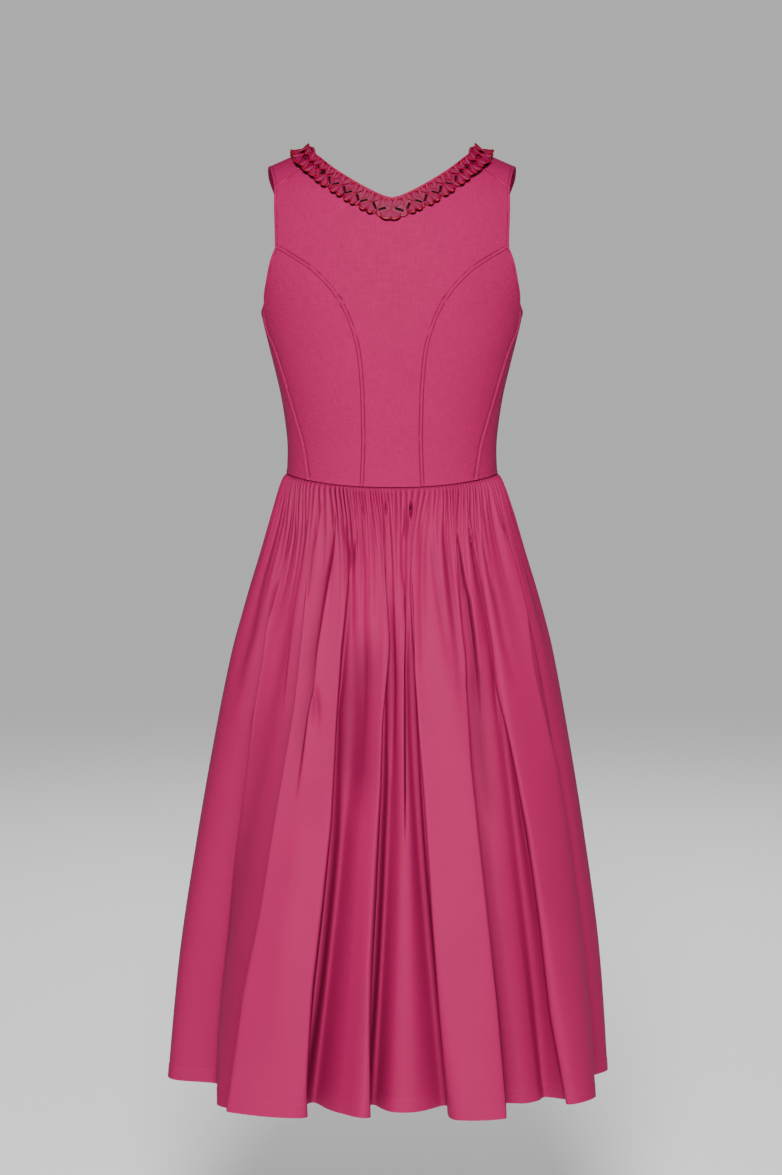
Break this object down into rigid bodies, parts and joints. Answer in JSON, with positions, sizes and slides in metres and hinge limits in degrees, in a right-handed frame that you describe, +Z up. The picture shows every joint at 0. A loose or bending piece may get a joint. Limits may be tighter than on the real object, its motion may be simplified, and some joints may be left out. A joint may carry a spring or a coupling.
{
  "type": "dirndl",
  "caption": "Sleeveless dress with a fitted bodice, a pinched ribbon round the neck and a gathered skirt, in its worn form, open at neck, armholes and hem.",
  "frame": {"origin": "midway between the shoulders, at the height where the straps meet the neck, where the wearer holds the dress up", "axes": "+Z up, the front of the dress faces -Y, the wearer's left is +X"},
  "size_m": [0.5272, 0.3929, 1.1097],
  "materials": {
    "bodice_cloth": "finely slubbed woven cloth, magenta pink",
    "skirt_cloth": "smooth fine cotton, magenta pink",
    "ribbon": "satin ribbon, magenta with red edges"
  },
  "bodies": {
    "root": {"back_centre": "bodice_cloth", "back_side_left": "bodice_cloth", "back_side_right": "bodice_cloth", "front_side_left": "bodice_cloth", "front_side_right": "bodice_cloth", "front_centre_left": "bodice_cloth", "front_centre_right": "bodice_cloth", "front_underlap": "bodice_cloth", "neck_ribbon": "ribbon", "skirt_back": "skirt_cloth", "skirt_front_left": "skirt_cloth", "skirt_front_right": "skirt_cloth"}
  },
  "joints": []
}
